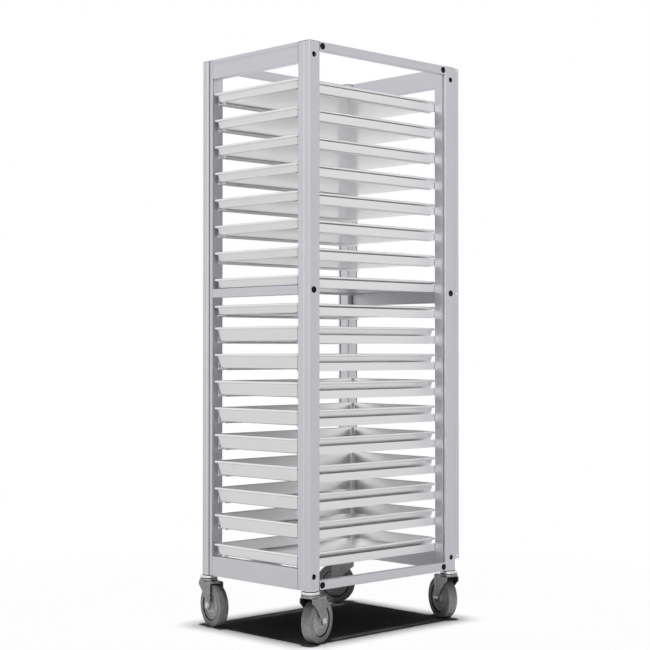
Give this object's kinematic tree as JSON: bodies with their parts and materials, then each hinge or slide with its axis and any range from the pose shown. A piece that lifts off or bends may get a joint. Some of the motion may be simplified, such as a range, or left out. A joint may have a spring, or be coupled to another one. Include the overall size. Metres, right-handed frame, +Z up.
{
  "type": "bakery trolley",
  "caption": "Tall aluminium bakery trolley on swivel casters: an open profile frame with paired runners that carry shallow and deep baking trays.",
  "frame": {"origin": "on the floor under the middle of the frame", "axes": "+Z up, the loading front faces -Y, +X to the right of a person facing the front"},
  "size_m": [0.602, 0.723, 1.847],
  "materials": {
    "profile": "satin anodised",
    "runner": "satin anodised",
    "tray": "rolled sheet",
    "steel": "zinc plated",
    "bright_steel": "bright zinc plated",
    "fork_steel": "zinc plated",
    "hub_plastic": "moulded",
    "tyre_rubber": "grey rubber",
    "black_plastic": "moulded",
    "grey_plastic": "moulded"
  },
  "bodies": {
    "frame": {"post_front_left": "profile", "post_front_right": "profile", "post_rear_left": "profile", "post_rear_right": "profile", "rail_front_top": "profile", "rail_front_middle": "profile", "rail_front_bottom": "profile", "rail_rear_top": "profile", "rail_rear_middle": "profile", "rail_rear_bottom": "profile", "rail_left_top": "profile", "rail_left_bottom": "profile", "rail_right_top": "profile", "rail_right_bottom": "profile", "runners_left": "runner", "runners_right": "runner", "rear_angles": "profile", "rear_angle_screws": "steel", "frame_bolts": "steel", "side_rail_anchors": "steel", "runner_screws": "steel", "hole_plugs": "black_plastic", "post_caps": "grey_plastic", "caster_sockets": "steel", "caster_stems": "bright_steel", "swivel_balls": "steel"},
    "tray_01": {"tray_01": "tray"},
    "tray_02": {"tray_02": "tray"},
    "tray_03": {"tray_03": "tray"},
    "tray_04": {"tray_04": "tray"},
    "tray_05": {"tray_05": "tray"},
    "tray_06": {"tray_06": "tray"},
    "tray_07": {"tray_07": "tray"},
    "tray_08": {"tray_08": "tray"},
    "tray_09": {"tray_09": "tray"},
    "tray_10": {"tray_10": "tray"},
    "tray_11": {"tray_11": "tray"},
    "tray_12": {"tray_12": "tray"},
    "tray_13": {"tray_13": "tray"},
    "tray_14": {"tray_14": "tray"},
    "tray_15": {"tray_15": "tray"},
    "tray_16": {"tray_16": "tray"},
    "tray_17": {"tray_17": "tray"},
    "tray_18": {"tray_18": "tray"},
    "caster_front_left": {"caster_fork_front_left": "fork_steel", "caster_axle_front_left": "bright_steel"},
    "wheel_front_left": {"wheel_hub_front_left": "hub_plastic", "wheel_tyre_front_left": "tyre_rubber"},
    "caster_front_right": {"caster_fork_front_right": "fork_steel", "caster_axle_front_right": "bright_steel"},
    "wheel_front_right": {"wheel_hub_front_right": "hub_plastic", "wheel_tyre_front_right": "tyre_rubber"},
    "caster_rear_left": {"caster_fork_rear_left": "fork_steel", "caster_axle_rear_left": "bright_steel"},
    "wheel_rear_left": {"wheel_hub_rear_left": "hub_plastic", "wheel_tyre_rear_left": "tyre_rubber"},
    "caster_rear_right": {"caster_fork_rear_right": "fork_steel", "caster_axle_rear_right": "bright_steel"},
    "wheel_rear_right": {"wheel_hub_rear_right": "hub_plastic", "wheel_tyre_rear_right": "tyre_rubber"}
  },
  "joints": [
    {"name": "tray_01_slide", "type": "slide", "parent": "frame", "child": "tray_01", "axis": [0, -1, 0], "range_m": [0, 0.55]},
    {"name": "tray_02_slide", "type": "slide", "parent": "frame", "child": "tray_02", "axis": [0, -1, 0], "range_m": [0, 0.55]},
    {"name": "tray_03_slide", "type": "slide", "parent": "frame", "child": "tray_03", "axis": [0, -1, 0], "range_m": [0, 0.55]},
    {"name": "tray_04_slide", "type": "slide", "parent": "frame", "child": "tray_04", "axis": [0, -1, 0], "range_m": [0, 0.55]},
    {"name": "tray_05_slide", "type": "slide", "parent": "frame", "child": "tray_05", "axis": [0, -1, 0], "range_m": [0, 0.55]},
    {"name": "tray_06_slide", "type": "slide", "parent": "frame", "child": "tray_06", "axis": [0, -1, 0], "range_m": [0, 0.55]},
    {"name": "tray_07_slide", "type": "slide", "parent": "frame", "child": "tray_07", "axis": [0, -1, 0], "range_m": [0, 0.55]},
    {"name": "tray_08_slide", "type": "slide", "parent": "frame", "child": "tray_08", "axis": [0, -1, 0], "range_m": [0, 0.55]},
    {"name": "tray_09_slide", "type": "slide", "parent": "frame", "child": "tray_09", "axis": [0, -1, 0], "range_m": [0, 0.55]},
    {"name": "tray_10_slide", "type": "slide", "parent": "frame", "child": "tray_10", "axis": [0, -1, 0], "range_m": [0, 0.55]},
    {"name": "tray_11_slide", "type": "slide", "parent": "frame", "child": "tray_11", "axis": [0, -1, 0], "range_m": [0, 0.55]},
    {"name": "tray_12_slide", "type": "slide", "parent": "frame", "child": "tray_12", "axis": [0, -1, 0], "range_m": [0, 0.55]},
    {"name": "tray_13_slide", "type": "slide", "parent": "frame", "child": "tray_13", "axis": [0, -1, 0], "range_m": [0, 0.55]},
    {"name": "tray_14_slide", "type": "slide", "parent": "frame", "child": "tray_14", "axis": [0, -1, 0], "range_m": [0, 0.55]},
    {"name": "tray_15_slide", "type": "slide", "parent": "frame", "child": "tray_15", "axis": [0, -1, 0], "range_m": [0, 0.55]},
    {"name": "tray_16_slide", "type": "slide", "parent": "frame", "child": "tray_16", "axis": [0, -1, 0], "range_m": [0, 0.55]},
    {"name": "tray_17_slide", "type": "slide", "parent": "frame", "child": "tray_17", "axis": [0, -1, 0], "range_m": [0, 0.55]},
    {"name": "tray_18_slide", "type": "slide", "parent": "frame", "child": "tray_18", "axis": [0, -1, 0], "range_m": [0, 0.55]},
    {"name": "caster_front_left_swivel", "type": "hinge", "parent": "frame", "child": "caster_front_left", "pos_m": [-0.242, -0.318, 0.157], "axis": [0, 0, 1], "continuous": true},
    {"name": "wheel_front_left_spin", "type": "hinge", "parent": "caster_front_left", "child": "wheel_front_left", "pos_m": [-0.20385, -0.32611, 0.069], "axis": [0.2079, 0.9781, 0], "continuous": true},
    {"name": "caster_front_right_swivel", "type": "hinge", "parent": "frame", "child": "caster_front_right", "pos_m": [0.242, -0.318, 0.157], "axis": [0, 0, 1], "continuous": true},
    {"name": "wheel_front_right_spin", "type": "hinge", "parent": "caster_front_right", "child": "wheel_front_right", "pos_m": [0.23158, -0.28042, 0.069], "axis": [-0.9636, -0.2672, 0], "continuous": true},
    {"name": "caster_rear_left_swivel", "type": "hinge", "parent": "frame", "child": "caster_rear_left", "pos_m": [-0.242, 0.318, 0.157], "axis": [0, 0, 1], "continuous": true},
    {"name": "wheel_rear_left_spin", "type": "hinge", "parent": "caster_rear_left", "child": "wheel_rear_left", "pos_m": [-0.26909, 0.28995, 0.069], "axis": [0.7193, -0.6947, 0], "continuous": true},
    {"name": "caster_rear_right_swivel", "type": "hinge", "parent": "frame", "child": "caster_rear_right", "pos_m": [0.242, 0.318, 0.157], "axis": [0, 0, 1], "continuous": true},
    {"name": "wheel_rear_right_spin", "type": "hinge", "parent": "caster_rear_right", "child": "wheel_rear_right", "pos_m": [0.20481, 0.32973, 0.069], "axis": [-0.3007, -0.9537, 0], "continuous": true}
  ]
}
